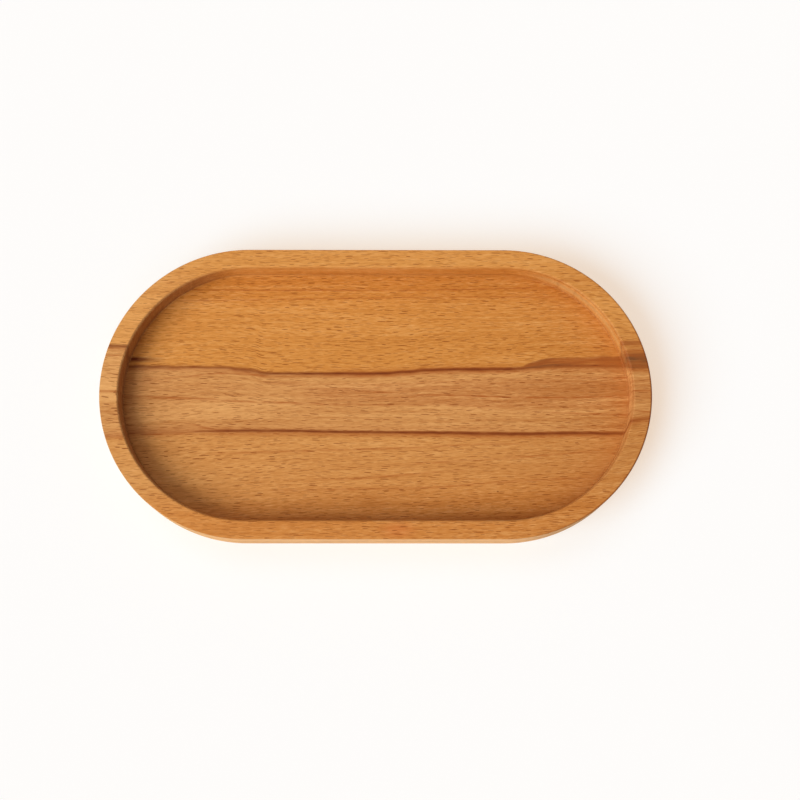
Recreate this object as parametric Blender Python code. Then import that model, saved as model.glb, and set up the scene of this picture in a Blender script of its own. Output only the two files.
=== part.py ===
"""A shallow beech tray with straight sides and half-round ends, glued up from three staves.

Metres, +Z up. The tray's length lies along X, the grain too. The origin is the middle of the
underside, so the tray stands on the plane z = 0. The front of the tray faces -Y.
"""
import math

import bmesh
import bpy

# Driving sizes of the tray
LENGTH = 0.300
WIDTH = 0.160
HEIGHT = 0.023
POCKET_DEPTH = 0.014
RIM_WIDTH = 0.0105

# Rounded edges: outside, the pocket's lip, and the corner between the pocket's wall and floor
OUTER_EASE = 0.0004
LIP_EASE = 0.0015
FLOOR_FILLET = 0.0008

# The glued blank: the middle stave's width, and the joint left between two neighbours
MIDDLE_STAVE_WIDTH = 0.053
JOINT_GAP = 0.0003

# How far a cutter runs past what it cuts, and how near two points are when they are one
OVERRUN = 0.004
MERGE_DISTANCE = 0.000005

# Counts of flat faces on the round ends and on each rounded edge
END_FACES = 56
EASE_FACES = 3
LIP_FACES = 5

# Edges flatter than this are shaded smooth
SMOOTH_ANGLE = math.radians(35)
SAME_PLANE_ANGLE = math.radians(1)

FLOOR_HEIGHT = HEIGHT - POCKET_DEPTH
END_CENTRE = (LENGTH - WIDTH) / 2
MIDDLE_JOINT = MIDDLE_STAVE_WIDTH / 2

# Oiled beech, browner in the middle where the heartwood is
BACK_COLOUR = (0.62, 0.26, 0.060, 1.0)
MIDDLE_COLOUR = (0.53, 0.23, 0.075, 1.0)
FRONT_COLOUR = (0.57, 0.24, 0.065, 1.0)
WOOD_ROUGHNESS = 0.55
WOOD_METALLIC = 0.0


def clear_scene():
    for obj in list(bpy.data.objects):
        bpy.data.objects.remove(obj, do_unlink=True)


def new_collection(name):
    collection = bpy.data.collections.new(name)
    bpy.context.scene.collection.children.link(collection)
    return collection


def wood(name, colour):
    material = bpy.data.materials.new(name)
    material.use_nodes = True
    shader = material.node_tree.nodes["Principled BSDF"]
    shader.inputs["Base Color"].default_value = colour
    shader.inputs["Roughness"].default_value = WOOD_ROUGHNESS
    shader.inputs["Metallic"].default_value = WOOD_METALLIC
    material.diffuse_color = colour
    return material


def outline_points(inset):
    """The tray's outline, moved in by a distance: two half circles, joined by the straight sides."""
    radius = WIDTH / 2 - inset
    points = []
    for side in (1, -1):
        for i in range(END_FACES + 1):
            turn = math.pi * (i / END_FACES - 0.5)
            points.append((side * (END_CENTRE + radius * math.cos(turn)), side * radius * math.sin(turn)))
    return points


def outline_block(name, inset, low, high, collection):
    """A solid block of that outline between two heights, from a filled flat curve."""
    curve = bpy.data.curves.new(name, "CURVE")
    curve.dimensions = "2D"
    curve.fill_mode = "BOTH"
    curve.extrude = (high - low) / 2
    spline = curve.splines.new("POLY")
    points = outline_points(inset)
    spline.points.add(len(points) - 1)
    for point, (x, y) in zip(spline.points, points):
        point.co = (x, y, 0.0, 1.0)
    spline.use_cyclic_u = True
    flat = bpy.data.objects.new(name + "_outline", curve)
    collection.objects.link(flat)
    flat.location.z = (low + high) / 2
    bpy.context.view_layer.update()

    mesh = bpy.data.meshes.new_from_object(flat.evaluated_get(bpy.context.evaluated_depsgraph_get()))
    mesh.name = name
    mesh.transform(flat.matrix_world)
    bpy.data.objects.remove(flat, do_unlink=True)
    bpy.data.curves.remove(curve)

    bm = bmesh.new()
    bm.from_mesh(mesh)
    bmesh.ops.remove_doubles(bm, verts=bm.verts, dist=MERGE_DISTANCE)
    bmesh.ops.dissolve_limit(bm, angle_limit=SAME_PLANE_ANGLE, verts=bm.verts, edges=bm.edges)
    bmesh.ops.recalc_face_normals(bm, faces=bm.faces)
    bm.to_mesh(mesh)
    bm.free()

    block = bpy.data.objects.new(name, mesh)
    collection.objects.link(block)
    return block


def level_edges(bm, height, inset):
    """The edges that lie flat at a height, along the outline moved in by a distance."""
    radius = WIDTH / 2 - inset

    def on_outline(vert):
        x = max(abs(vert.co.x) - END_CENTRE, 0.0)
        far = math.hypot(x, vert.co.y)
        return abs(vert.co.z - height) < MERGE_DISTANCE and abs(far - radius) < MERGE_DISTANCE

    return [edge for edge in bm.edges if all(on_outline(vert) for vert in edge.verts)]


def round_edges(obj, height, inset, width, faces):
    """Rounds the edges along one outline at one height."""
    bm = bmesh.new()
    bm.from_mesh(obj.data)
    bmesh.ops.bevel(bm, geom=level_edges(bm, height, inset), offset=width, segments=faces, profile=0.5,
                    affect="EDGES", clamp_overlap=False)
    bm.to_mesh(obj.data)
    bm.free()


def cut(obj, cutter, operation):
    """Applies a Boolean to an object for good."""
    modifier = obj.modifiers.new(cutter.name, "BOOLEAN")
    modifier.operation = operation
    modifier.solver = "EXACT"
    modifier.object = cutter
    bpy.context.view_layer.update()
    mesh = bpy.data.meshes.new_from_object(obj.evaluated_get(bpy.context.evaluated_depsgraph_get()))
    obj.modifiers.clear()
    old = obj.data
    obj.data = mesh
    bpy.data.meshes.remove(old)
    mesh.name = obj.name


def as_cutter(obj):
    obj.hide_render = True
    obj.display_type = "WIRE"
    return obj


def milled_blank(cutters):
    """The whole tray before it is parted into staves: the outline, its rounded edges and the pocket."""
    blank = as_cutter(outline_block("milled_blank", 0.0, 0.0, HEIGHT, cutters))
    for height in (0.0, HEIGHT):
        round_edges(blank, height, 0.0, OUTER_EASE, EASE_FACES)

    pocket = as_cutter(outline_block("pocket_cutter", RIM_WIDTH, FLOOR_HEIGHT, HEIGHT + OVERRUN, cutters))
    round_edges(pocket, FLOOR_HEIGHT, RIM_WIDTH, FLOOR_FILLET, EASE_FACES)
    cut(blank, pocket, "DIFFERENCE")
    round_edges(blank, HEIGHT, RIM_WIDTH, LIP_EASE, LIP_FACES)
    return blank


def slab(name, low, high, cutters):
    """A box that takes in the whole tray along X and Z, between two places along Y."""
    bpy.ops.mesh.primitive_cube_add(size=1.0, location=(0.0, (low + high) / 2, HEIGHT / 2))
    box = bpy.context.object
    box.name = name
    box.scale = (LENGTH + 2 * OVERRUN, high - low, HEIGHT + 2 * OVERRUN)
    bpy.ops.object.transform_apply(location=False, rotation=False, scale=True)
    for collection in list(box.users_collection):
        collection.objects.unlink(box)
    cutters.objects.link(box)
    return as_cutter(box)


def stave(name, blank, low, high, material, parts, cutters):
    """One stave: the part of the milled blank that lies between two joints."""
    board = bpy.data.objects.new(name, blank.data.copy())
    board.data.name = name
    parts.objects.link(board)
    cut(board, slab(name + "_cutter", low, high, cutters), "INTERSECT")
    board.data.materials.clear()
    board.data.materials.append(material)
    board.data.shade_smooth()
    board.data.set_sharp_from_angle(angle=SMOOTH_ANGLE)


def build_tray():
    clear_scene()
    parts = new_collection("oval_tray")
    cutters = new_collection("cutters")
    blank = milled_blank(cutters)
    edge = WIDTH / 2 + OVERRUN
    inner = MIDDLE_JOINT - JOINT_GAP / 2
    outer = MIDDLE_JOINT + JOINT_GAP / 2
    stave("back_stave", blank, outer, edge, wood("back_beech", BACK_COLOUR), parts, cutters)
    stave("middle_stave", blank, -inner, inner, wood("middle_beech", MIDDLE_COLOUR), parts, cutters)
    stave("front_stave", blank, -edge, -outer, wood("front_beech", FRONT_COLOUR), parts, cutters)


build_tray()
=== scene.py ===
"""An oval beech tray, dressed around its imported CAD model.

The meshes are in metres and the wood's own patterns in millimetres. The tray's length and its grain lie
along X, its front faces -Y, and it stands on the plane z = 0.
"""

import math

import bpy
from mathutils import Matrix, Vector


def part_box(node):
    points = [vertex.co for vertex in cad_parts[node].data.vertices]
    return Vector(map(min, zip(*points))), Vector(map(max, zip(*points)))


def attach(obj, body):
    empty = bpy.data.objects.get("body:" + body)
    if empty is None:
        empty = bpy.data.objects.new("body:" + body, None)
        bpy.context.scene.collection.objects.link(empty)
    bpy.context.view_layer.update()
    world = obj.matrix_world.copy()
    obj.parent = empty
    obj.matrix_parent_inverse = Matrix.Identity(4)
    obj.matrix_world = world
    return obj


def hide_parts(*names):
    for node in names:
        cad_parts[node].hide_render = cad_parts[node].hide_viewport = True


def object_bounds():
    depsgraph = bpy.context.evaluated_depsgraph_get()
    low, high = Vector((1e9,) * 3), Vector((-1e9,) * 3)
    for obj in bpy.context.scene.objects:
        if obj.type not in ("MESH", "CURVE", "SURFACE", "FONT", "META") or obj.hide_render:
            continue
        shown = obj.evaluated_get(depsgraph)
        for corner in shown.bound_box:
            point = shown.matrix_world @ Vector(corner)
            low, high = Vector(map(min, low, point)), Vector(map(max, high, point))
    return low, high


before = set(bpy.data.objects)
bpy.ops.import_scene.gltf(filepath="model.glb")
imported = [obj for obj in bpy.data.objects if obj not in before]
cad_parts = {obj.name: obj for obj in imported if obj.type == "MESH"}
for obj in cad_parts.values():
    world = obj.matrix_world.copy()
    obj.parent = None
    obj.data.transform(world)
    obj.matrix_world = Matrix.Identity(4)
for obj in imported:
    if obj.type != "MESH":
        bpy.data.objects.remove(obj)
cad_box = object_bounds()


# Back stave
# The back third of the blank. Three beech staves are planed and glued edge to edge, and then the outline,
# the pocket and the rounded edges are routed into the whole blank, so that a stave is a slice of the
# routed shape. After sanding, the tray is oiled.

class Wire:
    """One output in a node tree. Plain arithmetic on it adds the Math nodes that it takes."""

    def __init__(self, tree, socket=None):
        self.tree = tree
        self.socket = socket

    def node(self, kind, settings=None, sockets=None, output=0):
        """Adds a node, its settings first and then what goes into its sockets, and gives one output."""
        made = self.tree.nodes.new(kind)
        for name, value in (settings or {}).items():
            if name == "points":
                curve = made.mapping.curves[0]
                for x, y in value[1:-1]:
                    curve.points.new(x, y)
                for point, (x, y) in zip(curve.points, value):
                    point.location = (x, y)
                    point.handle_type = "AUTO_CLAMPED"
                made.mapping.update()
            elif name == "choices":
                while len(made.index_switch_items) < value:
                    made.index_switch_items.new()
            else:
                setattr(made, name, value)
        for name, value in (sockets or {}).items():
            for one in value if isinstance(value, list) else [value]:
                if isinstance(one, Wire):
                    self.tree.links.new(one.socket, made.inputs[name])
                else:
                    made.inputs[name].default_value = one
        return Wire(self.tree, made.outputs[output])

    def output(self, name):
        """Another output of the same node."""
        return Wire(self.tree, self.socket.node.outputs[name])

    def maths(self, operation, *terms):
        return self.node("ShaderNodeMath", {"operation": operation}, dict(enumerate(terms)))

    def __add__(self, other):
        return self.maths("ADD", self, other)

    def __radd__(self, other):
        return self.maths("ADD", other, self)

    def __sub__(self, other):
        return self.maths("SUBTRACT", self, other)

    def __rsub__(self, other):
        return self.maths("SUBTRACT", other, self)

    def __mul__(self, other):
        return self.maths("MULTIPLY", self, other)

    def __rmul__(self, other):
        return self.maths("MULTIPLY", other, self)

    def __truediv__(self, other):
        return self.maths("DIVIDE", self, other)

    def __rtruediv__(self, other):
        return self.maths("DIVIDE", other, self)

    def __mod__(self, other):
        return self.maths("MODULO", self, other)

    def __rmod__(self, other):
        return self.maths("MODULO", other, self)

    def __pow__(self, other):
        return self.maths("POWER", self, other)

    def __rpow__(self, other):
        return self.maths("POWER", other, self)

    def __neg__(self):
        return self.maths("MULTIPLY", self, -1.0)

    def __abs__(self):
        return self.maths("ABSOLUTE", self)

    def __gt__(self, other):
        return self.maths("GREATER_THAN", self, other)

    def __lt__(self, other):
        return self.maths("LESS_THAN", self, other)

    def floor(self):
        return self.maths("FLOOR", self)

    def within(self, low, high):
        """Held between two limits."""
        return self.maths("MINIMUM", self.maths("MAXIMUM", self, low), high)

    def rises(self, low, high):
        """0 below one value and 1 above another, with a soft slope between them."""
        return self.node("ShaderNodeMapRange", {"interpolation_type": "SMOOTHSTEP"},
                         {"Value": self, "From Min": low, "From Max": high})

    def point(self, x, y, z):
        return self.node("ShaderNodeCombineXYZ", {}, {"X": x, "Y": y, "Z": z})

    def split(self):
        """The first of a vector's three numbers. The other two are its outputs Y and Z."""
        return self.node("ShaderNodeSeparateXYZ", {}, {0: self}, "X")

    def mix(self, one, other):
        """One colour where this is 0, and the other where it is 1.

        A Mix node has sockets for each kind of value. Those for colours are 6 and 7, and 2 on its way out.
        """
        return self.node("ShaderNodeMix", {"data_type": "RGBA"}, {0: self, 6: one, 7: other}, 2)


def routing_inputs(tree):
    """Adds the routing tree's named inputs and gives each of them back as a wire."""
    for name in ("Length", "Width", "Height", "Pocket Depth", "Rim Width", "Outer Ease", "Lip Ease",
                 "Floor Fillet", "Edge Strip", "Stave From", "Stave To", "Sharp Angle"):
        tree.interface.new_socket(name=name, in_out="INPUT", socket_type="NodeSocketFloat")
    for name in ("End Faces", "Round Faces"):
        tree.interface.new_socket(name=name, in_out="INPUT", socket_type="NodeSocketInt")
    tree.interface.new_socket(name="Wood", in_out="INPUT", socket_type="NodeSocketMaterial")
    return {socket.name: Wire(tree, socket) for socket in tree.nodes.new("NodeGroupInput").outputs}


def routed_sheet(bench, given):
    """The whole routed tray as one closed sheet.

    Its columns run round the outline, and its rows run up the outside, over the rim and down into the
    pocket. The first row and the last one close the underside and the floor along the tray's middle.
    """
    length, width, height = given["Length"], given["Width"], given["Height"]
    ease, lip, fillet = given["Outer Ease"], given["Lip Ease"], given["Floor Fillet"]
    rim = given["Rim Width"]
    floor = height - given["Pocket Depth"]

    per_end = given["End Faces"] + 1
    around = 2 * per_end
    per_round = given["Round Faces"] + 3
    rows = 4 * per_round + 2
    index = bench.node("GeometryNodeInputIndex")
    column = (index / rows).floor()
    row = index - column * rows

    turned = column % around
    left_end = turned > per_end - 0.5
    turn = math.pi * ((turned - left_end * per_end) / given["End Faces"] - 0.5 + left_end)
    end_centre = (1 - 2 * left_end) * (length - width) / 2

    # Each rounded edge has its curve, and a narrow strip on either side of it that keeps the shading crisp
    place = (row - 1).within(0, 4 * per_round - 1)
    corner = (place / per_round).floor()
    step = place - corner * per_round
    share = ((step - 1) / given["Round Faces"]).within(0, 1)
    strip = given["Edge Strip"] * ((step > per_round - 1.5) - (step < 0.5))

    def at_corner(*values):
        """What holds at the lower outer edge, the upper outer edge, the lip and the floor's corner."""
        return bench.node("GeometryNodeIndexSwitch", {"data_type": "FLOAT", "choices": 4},
                          {"Index": corner, **{str(i): value for i, value in enumerate(values)}})

    radius = at_corner(ease, ease, lip, fillet)
    way = at_corner(-1.0, -1.0, -1.0, 1.0)
    angle = at_corner(-math.pi / 2, math.pi, math.pi / 2, math.pi) + way * share * math.pi / 2
    cosine = bench.maths("COSINE", angle)
    sine = bench.maths("SINE", angle)
    inset = at_corner(ease, ease, rim - lip, rim + fillet)
    inset = inset + radius * cosine - strip * way * sine
    level = at_corner(ease, height - ease, height - lip, floor + fillet)
    level = level + radius * sine + strip * way * cosine

    first = row < 0.5
    last = row > rows - 1.5
    reach = (width / 2 - inset) * (1 - first - last)
    level = level * (1 - first - last) + floor * last
    x = end_centre + reach * bench.maths("COSINE", turn)
    y = reach * bench.maths("SINE", turn)

    sheet = bench.node("GeometryNodeMeshGrid", {}, {"Vertices X": around + 1, "Vertices Y": rows})
    sheet = bench.node("GeometryNodeSetPosition", {},
                       {"Geometry": sheet, "Position": bench.point(x, y, level)})
    return bench.node("GeometryNodeMergeByDistance", {},
                      {"Geometry": sheet, "Distance": given["Edge Strip"] / 10})


def stave_of(bench, given, tray):
    """The slice of the routed tray between two glue joints, with its edges sharp and its curves smooth."""
    height, from_y, to_y = given["Height"], given["Stave From"], given["Stave To"]

    # The block that holds the stave reaches past the tray's ends, its rim and its underside
    size = bench.point(given["Length"] * 1.1, to_y - from_y, height * 1.5)
    middle = bench.point(0.0, (from_y + to_y) / 2, height / 2)
    block = bench.node("GeometryNodeMeshCube", {}, {"Size": size})
    block = bench.node("GeometryNodeTransform", {}, {"Geometry": block, "Translation": middle})
    stave = bench.node("GeometryNodeMeshBoolean", {"operation": "INTERSECT", "solver": "EXACT"},
                       {1: [tray, block]})
    stave = bench.node("GeometryNodeTriangulate", {"ngon_method": "BEAUTY"}, {"Mesh": stave})
    stave = bench.node("GeometryNodeSetShadeSmooth", {"domain": "FACE"}, {0: stave, "Shade Smooth": True})
    sharp = bench.node("GeometryNodeInputMeshEdgeAngle") > given["Sharp Angle"]
    return bench.node("GeometryNodeSetShadeSmooth", {"domain": "EDGE"},
                      {0: stave, "Selection": sharp, "Shade Smooth": False})


def routed_tray():
    """The tree that routes the tray from its sizes and keeps one stave of it."""
    tree = bpy.data.node_groups.new("routed_tray", "GeometryNodeTree")
    given = routing_inputs(tree)
    tree.interface.new_socket(name="Stave", in_out="OUTPUT", socket_type="NodeSocketGeometry")
    bench = Wire(tree)
    stave = stave_of(bench, given, routed_sheet(bench, given))
    stave = bench.node("GeometryNodeRealizeInstances", {}, {"Geometry": stave})
    stave = bench.node("GeometryNodeSetMaterial", {}, {"Geometry": stave, "Material": given["Wood"]})
    tree.links.new(stave.socket, tree.nodes.new("NodeGroupOutput").inputs["Stave"])
    return tree


tray_low, tray_high = Vector(cad_box[0]), Vector(cad_box[1])
tray_size = tray_high - tray_low
back_joint = (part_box("back_stave")[0].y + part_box("middle_stave")[1].y) / 2
front_joint = (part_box("front_stave")[1].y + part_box("middle_stave")[0].y) / 2
past_the_edge = tray_size.y

POCKET_DEPTH = 0.014
RIM_WIDTH = 0.0105
OUTER_EASE = 0.0004
LIP_EASE = 0.0015
FLOOR_FILLET = 0.0008
EDGE_STRIP = 0.00005
END_FACES = 160
ROUND_FACES = 8
SHARP_ANGLE = math.radians(40)

routing_tree = routed_tray()


def stave(name, from_y, to_y, wood, node):
    """Routes one stave, turns it into a plain mesh and lets it stand for its CAD node."""
    piece = bpy.data.objects.new(name, bpy.data.meshes.new(name + "_blank"))
    bpy.context.scene.collection.objects.link(piece)
    routing = piece.modifiers.new("routing", "NODES")
    routing.node_group = routing_tree
    sizes = {"Length": tray_size.x, "Width": tray_size.y, "Height": tray_size.z,
             "Pocket Depth": POCKET_DEPTH, "Rim Width": RIM_WIDTH, "Outer Ease": OUTER_EASE,
             "Lip Ease": LIP_EASE, "Floor Fillet": FLOOR_FILLET, "Edge Strip": EDGE_STRIP,
             "Stave From": from_y, "Stave To": to_y, "Sharp Angle": SHARP_ANGLE,
             "End Faces": END_FACES, "Round Faces": ROUND_FACES, "Wood": wood}
    for socket in routing_tree.interface.items_tree:
        if socket.in_out == "INPUT":
            routing[socket.identifier] = sizes[socket.name]
    bpy.context.view_layer.update()
    mesh = bpy.data.meshes.new_from_object(piece.evaluated_get(bpy.context.evaluated_depsgraph_get()))
    mesh.name = name
    piece.modifiers.remove(routing)
    piece.data = mesh
    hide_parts(node)
    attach(piece, "root")


def paint(red, green, blue):
    """A colour as a paint chart gives it, 0 to 255, in the shader's own scale."""
    shares = [part / 255 for part in (red, green, blue)]
    linear = [part / 12.92 if part < 0.04045 else ((part + 0.055) / 1.055) ** 2.4 for part in shares]
    return (*linear, 1.0)


# The wood's tones, and the tones that paint light and shade on it
BACK_TONE = paint(211, 142, 66)
BACK_EDGE_TONE = paint(204, 133, 57)
HEART_TONE = paint(208, 148, 86)
HEART_SHADE_TONE = paint(198, 134, 76)
FRONT_TONE = paint(207, 144, 78)
FRONT_EDGE_TONE = paint(204, 132, 62)
DARK_GRAIN_TONE = paint(160, 86, 18)
PALE_GRAIN_TONE = paint(240, 184, 116)
RUSSET_TONE = paint(166, 88, 33)
VEIN_TONE = paint(112, 48, 10)
SMOKY_TONE = paint(112, 68, 36)
BROWNER_TONE = paint(164, 97, 38)
FLECK_TONE = paint(126, 56, 4)
BRICK_TONE = paint(206, 106, 52)
LIT_CUT_TONE = paint(198, 160, 104)
PAINTED_SHADE_CUT_TONE = paint(156, 106, 66)
WORN_AND_SHADED_EDGE_TONE = paint(140, 78, 34)
PALE_SIDE_AND_SHEEN_TONE = paint(234, 186, 118)

# The figure is laid out in millimetres, a thousand to the metre, and its strengths are shares from 0 to 1.
# These are the tray's own sizes in millimetres.
MILLIMETRES = 1000
half_width = tray_size.y / 2 * MILLIMETRES
half_straight = (tray_size.x - tray_size.y) / 2 * MILLIMETRES
rim_level = tray_size.z * MILLIMETRES
pocket_depth = POCKET_DEPTH * MILLIMETRES
floor_level = rim_level - pocket_depth
wall_reach = half_width - RIM_WIDTH * MILLIMETRES


class Blank:
    """The glued blank as its figure sees it: places in millimetres, how each face is cut, and the grain.

    The figure is in the blank and not in the staves, so it carries on across the glue joints.
    """

    def __init__(self, bench):
        self.bench = bench
        self.find_places()
        self.lay_heartwood()
        self.lay_grain()

    def find_places(self):
        """Where a place lies in the blank, in millimetres, and how its face is cut, from 0 to 1."""
        place = self.bench.node("ShaderNodeTexCoord", output="Object")
        axes = place.split()
        self.x = axes * MILLIMETRES
        self.y = axes.output("Y") * MILLIMETRES
        self.z = axes.output("Z") * MILLIMETRES

        # 0 on the pocket's floor and 1 on the rim
        self.rise = ((self.z - floor_level) / pocket_depth).within(0, 1)

        # How far a place lies past the straight sides, and how far out from the middle of the tray
        self.beyond = self.bench.maths("MAXIMUM", abs(self.x) - half_straight, 0.0)
        self.out = self.bench.maths("SQRT", self.beyond ** 2 + self.y ** 2)
        self.outside = self.out > half_width - 2
        self.right_end = self.beyond / self.out * (self.x > 0) * (1 - 0.5 * self.y.rises(0, 60))

        # Level faces, upright ones, long sides, faces cut across the grain, and rounded corners
        faces = place.output("Normal").split()
        level = abs(faces.output("Z"))
        self.flat = level.rises(0.80, 0.99)
        self.steep = 1 - level.rises(0.2, 0.9)
        self.long_side = abs(faces.output("Y")).rises(0.5, 0.95)
        self.faces_right = faces.rises(-0.2, 0.2)
        self.cross_cut = abs(faces).rises(0.05, 0.50)
        self.worn_edge = (1 - level).rises(0.02, 0.20) * level.rises(0.05, 0.35)

    def lay_heartwood(self):
        """The two heartwood edges: where they lie on the floor, and how they lean on their way to the rim."""
        x, y, z = self.x, self.y, self.z
        tremble = self.noise(x / 9, y / 9, z / 9, 2.0, 0.6)
        self.tremble = tremble
        self.upper_on_floor = self.course([
            (-150, 16.9), (-90, 16.5), (-78, 15.8), (-66, 14.3), (-60, 13.1), (-15, 13.1), (18, 14.1),
            (36, 15.4), (72, 15.7), (82, 16.2), (100, 16.9), (112, 17.2), (150, 16.8)])
        upper_lean = self.course([(-150, 9), (-60, 4), (60, 0), (120, -1), (142, -3.2), (150, -3.2)])
        self.upper = self.upper_on_floor + upper_lean * self.rise
        lower_on_floor = self.course([
            (-150, -20.8), (-110, -20.2), (-90, -19.3), (-60, -19.1), (-20, -19.6), (20, -19.9),
            (45, -20.2), (84, -20.7), (110, -20.2), (150, -21)])
        lower_lean = self.course([(-150, -4), (0, -2), (60, 0), (120, 3), (150, 6.5)])
        self.lower = lower_on_floor + lower_lean * self.rise
        self.from_upper = y - self.upper + tremble * 0.8
        self.from_lower = y - self.lower + tremble * 0.7

        # 1 behind the upper edge, and 1 in front of the lower one
        self.over = self.from_upper.rises(-0.5, 0.4)
        self.under = 1 - self.from_lower.rises(-0.5, 0.4)

    def lay_grain(self):
        """The grain, which follows those edges near them, climbs to the right along the front and wavers."""
        x, y, z = self.x, self.y, self.z
        side = y.rises(-20, 14)
        bend = (self.upper - 15) * side + (self.lower + 20) * (1 - side)
        bend = bend * (1 - abs(y).rises(22, 60))
        climb = 0.008 + 0.036 * (1 - y.rises(-40, -22)) * y.rises(-95, -55)
        self.waver = self.noise(x / 75, y / 26, z / 30, 1.0)
        self.across = y - bend - climb * x + 3.0 * self.waver

        # Narrow streaks, single fibres, the layers seen on upright faces and the pores of a cross cut
        self.narrow = self.noise(x / 60 + 7.3, self.across / 1.9, z / 7, 2.0, 0.6)
        self.fibre = self.noise(x / 4.6 + 3.1, self.across / 0.46, z / 0.8, 2.0, 0.65)
        self.layers = self.noise(x / 120 + 1.7, y / 14, z / 1.7, 2.0, 0.65) * self.steep
        self.pores = self.noise(x / 0.9, y / 0.9, z / 0.7, 2.0, 0.7)

        # How strong a line is from place to place, so that it looks broken and not drawn
        self.broken = (0.75 + 2.4 * self.noise(x / 7, self.across / 1.6, z / 5, 1.0)).within(0.1, 1.4)

    def noise(self, x, y, z, detail=2.0, roughness=0.5):
        """Soft noise about 0, mostly between -0.25 and 0.25."""
        return self.bench.node("ShaderNodeTexNoise", {}, {"Vector": self.bench.point(x, y, z), "Scale": 1.0,
                                                          "Detail": detail, "Roughness": roughness}) - 0.5

    def graph(self, value, points):
        """A curve through points of (value, result), level beyond its ends."""
        first, last = points[0][0], points[-1][0]
        low = min(result for _, result in points)
        span = max(max(result for _, result in points) - low, 1e-6)
        scaled = [((at - first) / (last - first), (result - low) / span) for at, result in points]
        share = ((value - first) / (last - first)).within(0, 1)
        return self.bench.node("ShaderNodeFloatCurve", {"points": scaled}, {"Value": share}) * span + low

    def course(self, points):
        """A value that changes along the tray, through points of (x, value)."""
        return self.graph(self.x, points)


def line(away, above, below):
    """1 along a line, fading over its own widths above and below it."""
    return away.rises(-below, 0.0) * (1 - away.rises(0.0, above))


def patched(blank, colour, patches):
    """Lays soft oval patches over a colour: each one's x and y, its reach in x and y, strength and tone."""
    for at_x, at_y, reach_x, reach_y, strength, tone in patches:
        far = ((blank.x - at_x) / reach_x) ** 2 + ((blank.y - at_y) / reach_y) ** 2
        patch = 1 - blank.bench.maths("SQRT", far).rises(0.0, 1.0)
        colour = (patch * strength).mix(colour, tone)
    return colour


def ground_tone(blank):
    """The wood's tone under its figure, which changes slowly along and across the tray, with some painted
    light and shade in it.
    """
    y, rise, across, course = blank.y, blank.rise, blank.across, blank.course
    shade = (across + course([(0, -1), (60, 4)])).rises(-5, -1) * (1 - across.rises(7, 11))
    shade = shade * course([(-150, 0.1), (-50, 0.2), (-20, 1), (150, 1)])
    heart = shade.mix(HEART_TONE, HEART_SHADE_TONE)
    front = (1 - across.rises(-66, -42)).mix(FRONT_TONE, FRONT_EDGE_TONE)
    back = (across.rises(50, 60) * (1 - across.rises(66, 72))).mix(BACK_TONE, BACK_EDGE_TONE)
    ground = blank.over.mix(blank.under.mix(heart, front), back)

    # Browner and darker towards the right end: partly the wood's own tone, partly painted fall-off of the
    # light from the window on the left
    browner = course([(-110, 0), (0, 0.09), (50, 0.16), (75, 0.22), (100, 0.34), (125, 0.44)])
    browner = browner * (1 - 0.7 * rise * y.rises(20, 50)) * (1 - 0.7 * blank.steep)
    ground = browner.mix(ground, BROWNER_TONE)
    ground = patched(blank, ground, [(-80, -5, 60, 17, 0.3, PALE_GRAIN_TONE),
                                     (-128, 9, 18, 4.5, 0.4, RUSSET_TONE),
                                     (118, -16, 40, 6, 0.35, BROWNER_TONE)])
    # The rim is paler towards the left end and the back: partly the wood's own tone, partly painted sheen
    # from the light on the left
    pale = course([(-150, 0.34), (-128, 0.34), (-80, 0.13), (150, 0.13)]) * (0.3 + 0.7 * y.rises(-30, 40))
    ground = (pale * rise.rises(0.7, 1)).mix(ground, PALE_GRAIN_TONE)
    # The long outer sides are paler: partly the plainer sawn face, partly painted light and sheen
    return (blank.long_side * blank.outside * 0.72).mix(ground, PALE_SIDE_AND_SHEEN_TONE)


def add_streaks(blank, colour):
    """Streaks along the grain. The broad ones are strong in the heartwood alone."""
    figured = 0.35 + 0.65 * (1 - blank.over) * (1 - blank.under)
    broad = blank.noise(blank.x / 150, blank.across / 8, blank.z / 18, 2.0, 0.6)
    grain = broad * figured * 0.9 + blank.narrow * (0.55 + 0.8 * figured)
    grain = grain + blank.fibre * (1.5 + 0.8 * blank.steep) + blank.layers * 1.8
    colour = grain.within(0, 1).mix(colour, PALE_GRAIN_TONE)
    return (-grain).within(0, 1).mix(colour, DARK_GRAIN_TONE)


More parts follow.
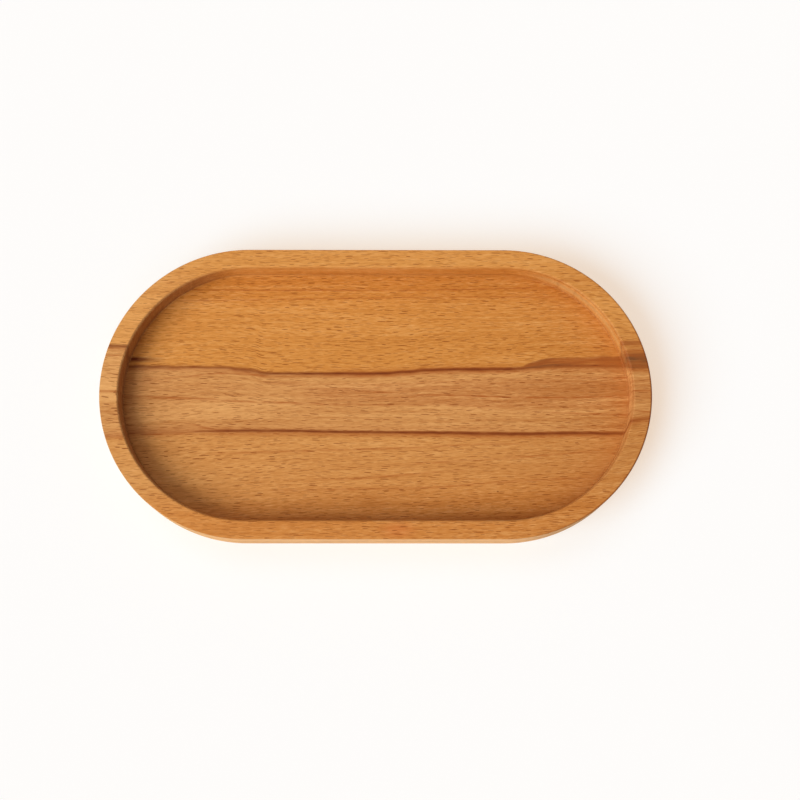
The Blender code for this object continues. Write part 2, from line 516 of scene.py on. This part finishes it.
# The darker growth lines that can be followed one by one: their course as (x, y), how strong they are along
# it as (x, strength), and how far they fade above and below
GROWTH_LINES = [
    ([(-140, 0.5), (-100, -1), (-60, -3), (-20, -4), (60, -4.5), (150, -4)],
     [(-150, 0.45), (-60, 0.5), (20, 0.3), (90, 0)], 0.8, 1.6),
    ([(-118, 10.2), (-100, 11.9), (-85, 13.2), (-72, 12.6), (-60, 12.2)],
     [(-122, 0), (-110, 0.35), (-85, 0.5), (-66, 0.4), (-58, 0)], 0.8, 1.1),
    ([(-30, 4.5), (0, 3), (20, 1.5), (60, 0.5), (90, 0), (140, 1)],
     [(-30, 0.15), (0, 0.45), (60, 0.65), (150, 0.75)], 0.5, 1.1),
    ([(90, -8), (140, -10), (150, -11)],
     [(60, 0), (100, 0.35), (140, 0.6), (150, 0.6)], 0.6, 1.2),
    ([(-110, 61), (-20, 60.6), (90, 62.4)],
     [(-120, 0), (-90, 0.6), (60, 0.55), (120, 0.2)], 0.6, 0.6),
    ([(-110, 54.5), (60, 57)],
     [(-120, 0), (-80, 0.5), (90, 0.5), (130, 0)], 0.5, 0.6),
    ([(-90, -31.5), (10, -28.5), (60, -26)],
     [(-110, 0), (-60, 0.35), (40, 0.4), (90, 0)], 0.7, 1.2),
    ([(-20, -46), (40, -41)],
     [(-40, 0), (-10, 0.35), (30, 0.35), (60, 0)], 0.7, 1.2),
    ([(20, -37), (70, -34), (130, -29)],
     [(10, 0), (40, 0.35), (100, 0.4), (130, 0.1)], 0.7, 1.2),
    ([(-50, -52), (30, -50), (70, -47), (110, -45)],
     [(-70, 0), (-30, 0.35), (90, 0.4), (120, 0.1)], 0.7, 1.2),
    ([(-114, -15.2), (-102, -15.5), (-94, -17.4), (-86, -18.7)],
     [(-114, 0), (-104, 0.3), (-92, 0.35), (-84, 0.3), (-78, 0)], 1.0, 1.2),
    ([(-128, -21.2), (-60, -20.8)],
     [(-130, 0), (-122, 0.8), (-114, 0.6), (-100, 0.35), (-60, 0)], 0.5, 0.8),
    ([(-146, -25.5), (-136, -25.5)],
     [(-150, 0.6), (-138, 0.6), (-135, 0)], 0.5, 0.7),
    ([(-146, 20.3), (-136, 20.3)],
     [(-150, 0.6), (-138, 0.6), (-135, 0)], 0.5, 0.7),
    ([(-150, 14.4), (-120, 14.4)],
     [(-150, 0.4), (-139, 0.6), (-136, 0)], 0.4, 0.5),
    ([(-150, 9.8), (-120, 9.8)],
     [(-150, 0.3), (-139, 0.5), (-136, 0)], 0.4, 0.5),
    ([(-150, 10.9), (150, 10.9)],
     [(100, 0), (125, 0.5), (138, 0.8), (140, 0)], 0.4, 0.5),
]


def add_growth_lines(blank, colour):
    """The growth lines, and the faint clouds and the one small knot that lie among them."""
    for points, strength, above, below in GROWTH_LINES:
        away = blank.y - blank.course(points) + 0.8 * blank.waver
        strong = line(away, above, below) * blank.course(strength) * blank.broken * 1.3
        colour = strong.within(0, 1).mix(colour, RUSSET_TONE)
    return patched(blank, colour, [(-50, 7.5, 20, 2.2, 0.35, RUSSET_TONE),
                                   (12, -75, 14, 7, 0.35, BRICK_TONE),
                                   (-2, -58, 16, 6, 0.25, DARK_GRAIN_TONE),
                                   (66.5, -52.5, 0.9, 0.7, 0.9, VEIN_TONE)])


def dashes(blank, long, thick, shift, share):
    """The short dark dashes where the rays are cut, each with its own length, lean and depth of colour.

    The grain is divided into cells, so long and so thick, and each cell in that share of them holds one dash.
    """
    bench = blank.bench
    at_x = blank.x / long + shift + 2.5 * blank.noise(0.0, blank.across / 2.5 + shift, 0.0, 1.0)
    at_y = blank.across / thick + shift
    cells = bench.node("ShaderNodeTexVoronoi", {"voronoi_dimensions": "2D"},
                       {"Vector": bench.point(at_x, at_y, 0.0), "Scale": 1.0, "Randomness": 1.0})
    middle = cells.output("Position").split()
    chance = cells.output("Color").split()
    along = at_x - middle
    off = at_y - middle.output("Y") + along * (chance.output("Y") - 0.5)
    far = (along / (0.12 + 0.20 * chance.output("Z"))) ** 4 + (off / 0.18) ** 2
    depth = (chance < share) * (0.33 + 0.77 * chance.output("Y") ** 1.7)
    return (1 - bench.maths("SQRT", far).rises(0.5, 1.0)) * depth


def add_rays(blank, colour, fleck):
    """The rays: dark dashes on level faces, and small spots on upright ones, which show their broad side."""
    spots = blank.noise(blank.x / 2.2, blank.y / 9 + 4.3, blank.z / 1.1, 1.0).rises(0.10, 0.20)
    colour = fleck.mix(colour, FLECK_TONE)
    return (spots * blank.steep * (1 - blank.cross_cut) * 0.2).mix(colour, FLECK_TONE)


def add_heartwood_edges(blank, colour):
    """The heartwood edges themselves: a thin dark line with a russet tail below it and a faint one above."""
    course, from_upper, from_lower = blank.course, blank.from_upper, blank.from_lower
    upper_strength = course([(-150, 0.8), (-136, 0.7), (-100, 0.6), (-80, 0.6), (-66, 0.6), (-57, 0.85),
                             (78, 0.85), (88, 0.5), (150, 0.5)])
    upper_width = course([(-150, 1.2), (-120, 1.2), (-100, 1.0), (-80, 1.2), (-66, 1.6), (-56, 1.0),
                          (20, 1.1), (80, 1.2), (90, 0.8), (150, 0.9)])
    lower_strength = course([(-150, 0.1), (-108, 0.1), (-98, 0.35), (-84, 0.65), (-70, 0.85), (120, 0.85),
                             (138, 0.6), (142, 0.3), (150, 0.3)])
    lower_width = course([(-150, 0.9), (-92, 0.9), (-86, 1.1), (0, 1.0), (40, 1.2), (66, 1.3), (150, 1.1)])
    smudge = line(blank.y - 21, 2.0, 2.4) * course([(-141, 0.5), (-136, 1.3), (-130, 0.9), (-116, 0)])
    vein = line(from_upper / upper_width, 1.4, 1.3) * upper_strength
    vein = vein + line(from_lower / lower_width, 1.4, 1.2) * lower_strength
    vein = vein + smudge * (1 - blank.rise)

    upper_tail = course([(-150, 0.5), (-95, 0.5), (-82, 0.6), (-68, 0.7), (-58, 0.5), (-40, 0.5),
                         (-10, 0.75), (60, 0.75), (90, 0.5), (150, 0.5)])
    lower_tail = course([(-150, 0.15), (-100, 0.2), (-80, 0.5), (0, 0.6), (40, 0.75), (130, 0.7), (145, 0.4)])
    tail = from_upper.rises(-3.6, -1.0) * (1 - from_upper.rises(0, 1.8)) * upper_tail
    tail = tail + from_lower.rises(-3.6, -1.0) * (1 - from_lower.rises(0, 1.6)) * lower_tail
    above = line(from_upper, 5.0, 1.0) * course([(-60, 0), (-40, 0.1), (0, 0.35), (60, 0.35), (80, 0)])
    above = above + line(from_lower, 6.0, 1.0) * course([(-150, 0.4), (-90, 0.35), (-60, 0.25), (150, 0.3)])
    tail = (tail * (0.7 + 0.3 * blank.broken) + above).within(0, 1)
    colour = tail.mix(colour, RUSSET_TONE)
    return (vein * (0.65 + 0.4 * blank.broken)).within(0, 1).mix(colour, VEIN_TONE)


def add_russet_band(blank, colour):
    """The russet band that opens above the upper edge towards the right end and turns smoky on the rim."""
    x, y, rise, broken = blank.x, blank.y, blank.rise, blank.broken
    course, graph = blank.course, blank.graph
    top = course([(72, 15.9), (80, 17), (84, 18.6), (88, 20), (92, 21.2), (96, 22), (104, 22.3),
                  (112, 22.2), (120, 22.6), (137, 23.1), (150, 23.3)]) + 5.5 * rise
    height = ((y - blank.upper) / (top - blank.upper).within(0.2, 40)).within(-1, 2)
    below_top = 1 - (y - top + blank.tremble * 2).rises(-0.8, 0.6)
    band = blank.from_upper.rises(-0.5, 0.2) * below_top * x.rises(72, 84)
    streaky = blank.noise(x / 16 + 5, blank.across / 0.9, blank.z / 5, 2.0, 0.6)
    streaky = (0.7 + 3.2 * streaky).within(0, 1.6)

    red_on_rim = graph(height, [(0, 1), (0.62, 1), (0.68, 0.4), (0.80, 0.4), (0.87, 1), (1, 1)])
    red = 1 - rise * (1 - red_on_rim)
    colour = (band * red * (0.55 + 0.45 * streaky)).within(0, 1).mix(colour, RUSSET_TONE)
    top_edge = graph(height, [(0.35, 0), (0.8, 1), (1, 1)]) * (1 - rise)
    top_edge = top_edge * course([(80, 0.3), (92, 0.35), (100, 0.1), (112, 0.15), (130, 0.35)])
    colour = (band * top_edge).mix(colour, VEIN_TONE)

    on_floor = graph(height, [(0, 0.5), (0.15, 0.65), (0.4, 0.35), (0.8, 0.2), (0.92, 0.5), (1, 0.6)])
    on_floor = on_floor * (1 - rise) * course([(80, 1.3), (98, 1.2), (112, 0.8), (136, 0.5), (139, 1)])
    on_rim = graph(height, [(0, 0.9), (0.04, 0.5), (0.15, 0.5), (0.2, 0.9), (0.36, 0.9), (0.43, 0.6),
                            (0.5, 0.45), (0.57, 0.2), (0.66, 0.1), (0.82, 0.1), (0.88, 0.3), (1, 0.2)])
    smoky = on_floor * (0.2 + 0.9 * streaky) + on_rim * rise * (0.5 + 0.6 * broken)
    colour = (band * smoky * 0.8).within(0, 1).mix(colour, SMOKY_TONE)
    thread = line(y - blank.upper_on_floor - 0.7, 0.5, 0.5) * (1 - rise)
    thread = thread * course([(98, 0), (104, 1), (120, 1), (126, 0.2), (140, 0.6)])
    return (thread * (broken - 0.35) * 1.2).within(0, 1).mix(colour, VEIN_TONE)


def add_cross_cuts(blank, colour):
    """Where the round ends cut the wood across its grain, it is browner and full of pores and rings, and
    carries painted light and shade.
    """
    y, out, cross_cut, outside = blank.y, blank.out, blank.cross_cut, blank.outside
    rings = blank.noise(blank.x / 40, blank.across / 1.5, blank.z / 5, 2.0, 0.6)
    rings = rings + blank.layers * outside * 1.2
    speckle = blank.pores * 1.5 + rings * 1.4
    # Cut faces turned to the right, away from the light, get a painted shade tone, and those turned to the
    # left a paler, lit one. Both are weaker on the outside
    cut_tone = (blank.faces_right * (1 - 0.6 * outside)).mix(LIT_CUT_TONE, PAINTED_SHADE_CUT_TONE)
    cut_tone = speckle.within(0, 1).mix(cut_tone, PALE_GRAIN_TONE)
    cut_tone = (-speckle).within(0, 1).mix(cut_tone, DARK_GRAIN_TONE)
    right_wall = (out < half_width - 5) * (blank.x > 0)
    # On the right inner wall the pale cut tone shows only as a painted highlight across the middle of the
    # wall, fainter towards the front
    painted_highlight = blank.graph(blank.rise, [(0, 0), (0.2, 0.15), (0.45, 0.9), (0.62, 0.9), (0.85, 0.2), (1, 0)])
    painted_highlight = painted_highlight * (0.1 + 0.9 * y.rises(5, 50))
    colour = (cross_cut * 0.7 * (1 - right_wall * (1 - painted_highlight))).mix(colour, cut_tone)

    # The rounded corners are darker, partly from sanding wear and partly painted shade, and the top edge
    # round the right end gets painted shade
    worn_and_shaded = blank.worn_edge * (0.25 * (1 - cross_cut) + 0.4 * cross_cut * right_wall)
    colour = worn_and_shaded.mix(colour, WORN_AND_SHADED_EDGE_TONE)
    # Painted shade on the top edge round the right end, which is turned away from the light
    top_corner = 1 - (rim_level - blank.z).rises(0.8, 1.8)
    painted_shade_outer_edge = out.rises(half_width - 1.1, half_width - 0.4) * blank.right_end * top_corner
    return (painted_shade_outer_edge * 0.85).mix(colour, VEIN_TONE)


def add_gathered_oil(blank, colour):
    """Paints shade into the corner round the pocket's floor, and makes the floor darker towards its right
    end.
    """
    past_wall = blank.out - wall_reach
    in_pocket = blank.out < wall_reach + 0.5
    # Painted shade in the corner round the pocket's floor and at the foot of its wall
    painted_corner_shade = past_wall.rises(-2.2, 0.0) * in_pocket * (1 - blank.rise.rises(0.05, 0.3)) * (blank.z > 5)
    colour = (painted_corner_shade * 0.2).mix(colour, FLECK_TONE)
    deeper = past_wall.rises(-18, -2) * blank.right_end * in_pocket * (1 - blank.rise.rises(0, 0.2))
    return (deeper * 0.26).mix(colour, BROWNER_TONE)


# The sanded and oiled surface
RELIEF_STRENGTH = 0.25
RELIEF_DEPTH = 0.0002
OIL_SHEEN = 0.14


def oiled_beech():
    """Oiled beech, from its ground tone up to the shade painted into the corner round the pocket's floor."""
    wood = bpy.data.materials.new("oiled_beech")
    wood.use_nodes = True
    tree = wood.node_tree
    tree.nodes.clear()
    bench = Wire(tree)
    blank = Blank(bench)
    fleck = dashes(blank, long=10, thick=0.95, shift=0.0, share=0.74)
    fleck = fleck + dashes(blank, long=7.5, thick=0.8, shift=31.7, share=0.7) * 0.6
    fleck = fleck.within(0, 1) * blank.flat

    colour = ground_tone(blank)
    colour = add_streaks(blank, colour)
    colour = add_growth_lines(blank, colour)
    colour = add_rays(blank, colour, fleck)
    colour = add_heartwood_edges(blank, colour)
    colour = add_russet_band(blank, colour)
    colour = add_cross_cuts(blank, colour)
    colour = add_gathered_oil(blank, colour)

    # The sanded surface: fibres stand a little proud, and dashes and pores lie a little deeper and duller
    relief = blank.fibre * 0.5 + blank.narrow * 0.3 - fleck * 0.4 + blank.pores * blank.cross_cut * 0.6
    bump = bench.node("ShaderNodeBump", {},
                      {"Height": relief, "Strength": RELIEF_STRENGTH, "Distance": RELIEF_DEPTH})
    dull = (0.42 + 0.12 * blank.cross_cut + 0.10 * fleck - 0.20 * blank.narrow).within(0.25, 0.75)
    surface = bench.node("ShaderNodeBsdfPrincipled", {},
                         {"Base Color": colour, "Roughness": dull, "Normal": bump,
                          "Specular IOR Level": OIL_SHEEN})
    tree.links.new(surface.socket, tree.nodes.new("ShaderNodeOutputMaterial").inputs["Surface"])
    wood.diffuse_color = BACK_TONE
    return wood


beech = oiled_beech()
stave("back_stave_beech", back_joint, past_the_edge, beech, "back_stave")


# Middle stave
# The middle third of the same routed blank: a beech stave, planed, glued along both of its long edges and
# sanded with its neighbours. Most of the brown heartwood is in it.
stave("middle_stave_beech", front_joint, back_joint, beech, "middle_stave")


# Front stave
# The front third: the last of the three beech staves, glued to the middle one and routed, sanded and oiled
# with it. Its outer face is the side of the tray that the picture shows.
stave("front_stave_beech", -past_the_edge, front_joint, beech, "front_stave")


# Table
# A plain white table top, far wider than the picture. Its shadows look pale and warm to the camera, while the
# tray gets from it the light that a plain white surface throws back.
TABLE_REACH = 3.0
TABLE_COLOUR = (0.88, 0.86, 0.83, 1)
TABLE_SHADE_COLOUR = (0.235, 0.415, 0.57, 1)
TABLE_GLOW_COLOUR = (0.757, 0.577, 0.438, 1)

table_mesh = bpy.data.meshes.new("table")
corners = [(-TABLE_REACH, -TABLE_REACH, 0), (TABLE_REACH, -TABLE_REACH, 0), (TABLE_REACH, TABLE_REACH, 0),
           (-TABLE_REACH, TABLE_REACH, 0)]
table_mesh.from_pydata(corners, [], [(0, 1, 2, 3)])
table = bpy.data.objects.new("table", table_mesh)
bpy.context.scene.collection.objects.link(table)
white = bpy.data.materials.new("table_white")
white.use_nodes = True
white.node_tree.nodes.clear()
bench = Wire(white.node_tree)
seen = bench.node("ShaderNodeLightPath", output="Is Camera Ray")
shaded = bench.node("ShaderNodeBsdfDiffuse", {}, {"Color": TABLE_SHADE_COLOUR})
glow = bench.node("ShaderNodeEmission", {}, {"Color": TABLE_GLOW_COLOUR, "Strength": 1.0})
shown = bench.node("ShaderNodeAddShader", {}, {0: shaded, 1: glow})
plain = bench.node("ShaderNodeBsdfDiffuse", {}, {"Color": TABLE_COLOUR})
surface = bench.node("ShaderNodeMixShader", {}, {0: seen, 1: plain, 2: shown})
table_output = white.node_tree.nodes.new("ShaderNodeOutputMaterial")
white.node_tree.links.new(surface.socket, table_output.inputs["Surface"])
table_mesh.materials.append(white)


# Light
# Daylight from a wide window in front on the left, a little more from both sides of it, and the pale room
# all round.
DAYLIGHT_COLOUR = (1.0, 0.998, 0.985)
ROOM_COLOUR = (1.0, 0.82, 0.67, 1)
ROOM_STRENGTH = 0.235
BACKDROP_COLOUR = (1.0, 0.99, 0.975, 1)


def window(name, azimuth, elevation, breadth, share):
    """A soft light that gives a level surface its share of plain light. Azimuth runs from -X to -Y."""
    azimuth, elevation = math.radians(azimuth), math.radians(elevation)
    towards = Vector((-math.cos(elevation) * math.cos(azimuth), -math.cos(elevation) * math.sin(azimuth),
                      math.sin(elevation)))
    light = bpy.data.objects.new(name, bpy.data.lights.new(name, "SUN"))
    bpy.context.scene.collection.objects.link(light)
    light.data.angle = math.radians(breadth)
    light.data.energy = math.pi * share / math.sin(elevation)
    light.data.color = DAYLIGHT_COLOUR
    light.location = towards
    light.rotation_euler = (-towards).to_track_quat("-Z", "Y").to_euler()


window("window_middle", azimuth=33, elevation=40, breadth=44, share=0.57)
window("window_front", azimuth=78, elevation=42, breadth=34, share=0.07)
window("window_back", azimuth=-48, elevation=54, breadth=34, share=0.13)

world = bpy.data.worlds.new("pale_room")
bpy.context.scene.world = world
world.use_nodes = True
world.node_tree.nodes.clear()
bench = Wire(world.node_tree)
path = bench.node("ShaderNodeLightPath", output="Is Camera Ray")
direct = bench.maths("MAXIMUM", bench.maths("MAXIMUM", path, path.output("Is Glossy Ray")),
                     path.output("Is Transmission Ray"))
room = bench.node("ShaderNodeBackground", {}, {"Color": ROOM_COLOUR, "Strength": ROOM_STRENGTH})
backdrop = bench.node("ShaderNodeBackground", {}, {"Color": BACKDROP_COLOUR, "Strength": 1.0})
sky = bench.node("ShaderNodeMixShader", {}, {0: direct, 1: room, 2: backdrop})
world_output = world.node_tree.nodes.new("ShaderNodeOutputWorld")
world.node_tree.links.new(sky.socket, world_output.inputs["Surface"])


# Camera
# It looks down on the tray from the front, about 11 degrees off the vertical and 0.85 m above the table,
# through a short telephoto lens. Its place and turns lay the tray's outline where the picture has it.
CAMERA_PLACE = (0.0079, -0.1633, 0.8479)
CAMERA_TILT = math.radians(10.9)
CAMERA_TURN = math.radians(-0.36)
CAMERA_ROLL = math.radians(-0.01)
CAMERA_LENS = 69.75
CAMERA_SENSOR_WIDTH = 36.0
CAMERA_NEAREST = 0.01

camera = bpy.data.objects.new("camera", bpy.data.cameras.new("camera"))
bpy.context.scene.collection.objects.link(camera)
camera.data.sensor_width = CAMERA_SENSOR_WIDTH
camera.data.lens = CAMERA_LENS
camera.data.clip_start = CAMERA_NEAREST
camera.matrix_world = (Matrix.Translation(CAMERA_PLACE) @ Matrix.Rotation(CAMERA_TURN, 4, "Y")
                       @ Matrix.Rotation(CAMERA_TILT, 4, "X") @ Matrix.Rotation(CAMERA_ROLL, 4, "Z"))
bpy.context.scene.camera = camera
bpy.context.scene.view_settings.view_transform = "Standard"
